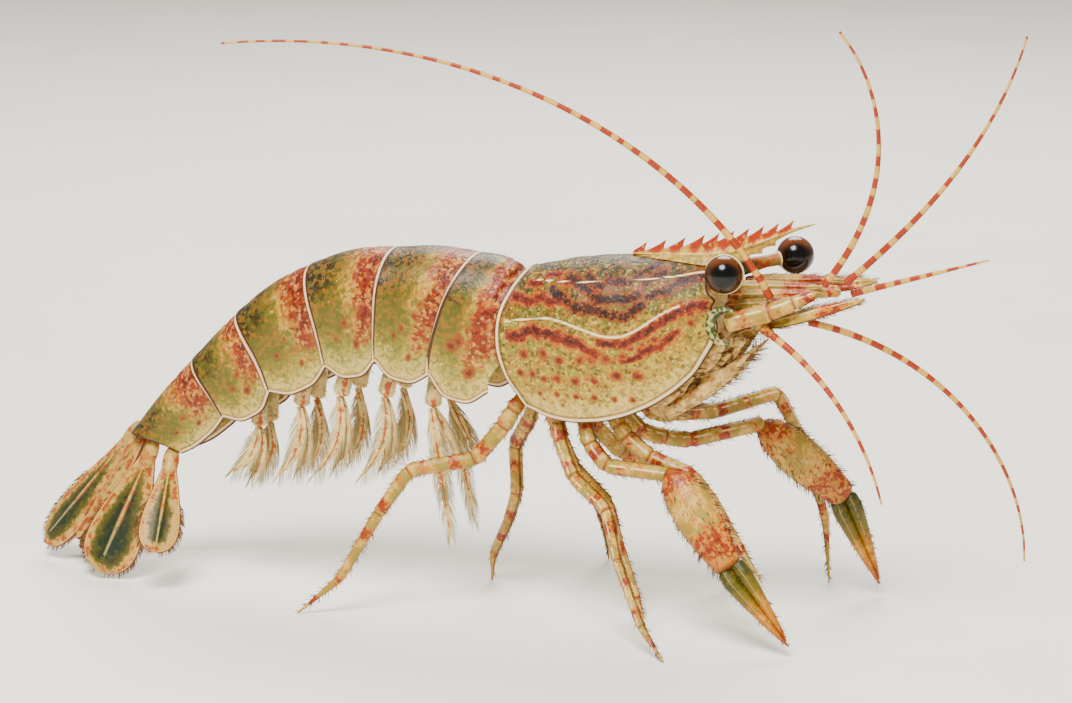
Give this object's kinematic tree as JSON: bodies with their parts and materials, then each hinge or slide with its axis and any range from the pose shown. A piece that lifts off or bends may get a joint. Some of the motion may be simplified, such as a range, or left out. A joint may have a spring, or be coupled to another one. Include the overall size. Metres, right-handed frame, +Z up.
{
  "type": "shrimp",
  "caption": "Life-size still display model of a common prawn: segmented shell, toothed rostrum, stalked eyes, long feelers, clawed legs, swimming legs and tail fan.",
  "frame": {"origin": "middle of the footprint of the whole model, on the floor it stands on", "axes": "+X from tail to head, +Y towards the animal's left side, +Z up"},
  "size_m": [0.1155, 0.0454, 0.0674],
  "materials": {
    "carapace_shell": "semi-gloss cuticle, olive and cream with brown and orange-red dashes",
    "abdomen_shell": "semi-gloss cuticle, olive with orange-red bands and cream lower edges",
    "rostrum_shell": "semi-gloss cuticle, cream with orange-red teeth",
    "eye_cornea": "glossy dark brown-black",
    "eyestalk_cuticle": "satin cuticle, olive with orange patches",
    "limb_cuticle": "satin cuticle, cream and yellow with orange-red bands",
    "claw_finger_cuticle": "satin cuticle, green at the root to orange at the tip",
    "feeler_cuticle": "satin cuticle, orange-red and cream rings",
    "mouthpart_cuticle": "matte cuticle, tan with orange",
    "pleopod_cuticle": "satin cuticle, cream with orange streaks",
    "tail_fan_cuticle": "satin cuticle, dark blue-green with cream and orange-red edges"
  },
  "bodies": {
    "root": {"abdomen_1": "abdomen_shell", "abdomen_2": "abdomen_shell", "abdomen_3": "abdomen_shell", "abdomen_4": "abdomen_shell", "abdomen_5": "abdomen_shell", "abdomen_6": "abdomen_shell", "antenna_flagellum_left": "feeler_cuticle", "antenna_flagellum_right": "feeler_cuticle", "antenna_peduncle_left": "limb_cuticle", "antenna_peduncle_right": "limb_cuticle", "antennal_scale_left": "limb_cuticle", "antennal_scale_right": "limb_cuticle", "antennule_lower_left": "feeler_cuticle", "antennule_lower_right": "feeler_cuticle", "antennule_peduncle_left": "limb_cuticle", "antennule_peduncle_right": "limb_cuticle", "antennule_upper_left": "feeler_cuticle", "antennule_upper_right": "feeler_cuticle", "breast": "mouthpart_cuticle", "carapace": "carapace_shell", "claw_fixed_finger_left": "claw_finger_cuticle", "claw_fixed_finger_right": "claw_finger_cuticle", "claw_moving_finger_left": "claw_finger_cuticle", "claw_moving_finger_right": "claw_finger_cuticle", "claw_palm_left": "limb_cuticle", "claw_palm_right": "limb_cuticle", "eye_left": "eye_cornea", "eye_right": "eye_cornea", "eyestalk_left": "eyestalk_cuticle", "eyestalk_right": "eyestalk_cuticle", "leg_1_left": "limb_cuticle", "leg_1_right": "limb_cuticle", "leg_2_left": "limb_cuticle", "leg_2_right": "limb_cuticle", "leg_3_left": "limb_cuticle", "leg_3_right": "limb_cuticle", "leg_4_left": "limb_cuticle", "leg_4_right": "limb_cuticle", "leg_5_left": "limb_cuticle", "leg_5_right": "limb_cuticle", "maxilliped_left": "mouthpart_cuticle", "maxilliped_right": "mouthpart_cuticle", "mouthparts": "mouthpart_cuticle", "pleopod_1_left": "pleopod_cuticle", "pleopod_1_right": "pleopod_cuticle", "pleopod_2_left": "pleopod_cuticle", "pleopod_2_right": "pleopod_cuticle", "pleopod_3_left": "pleopod_cuticle", "pleopod_3_right": "pleopod_cuticle", "pleopod_4_left": "pleopod_cuticle", "pleopod_4_right": "pleopod_cuticle", "pleopod_5_left": "pleopod_cuticle", "pleopod_5_right": "pleopod_cuticle", "rostrum": "rostrum_shell", "telson": "abdomen_shell", "uropod_inner_left": "tail_fan_cuticle", "uropod_inner_right": "tail_fan_cuticle", "uropod_outer_left": "tail_fan_cuticle", "uropod_outer_right": "tail_fan_cuticle"}
  },
  "joints": []
}
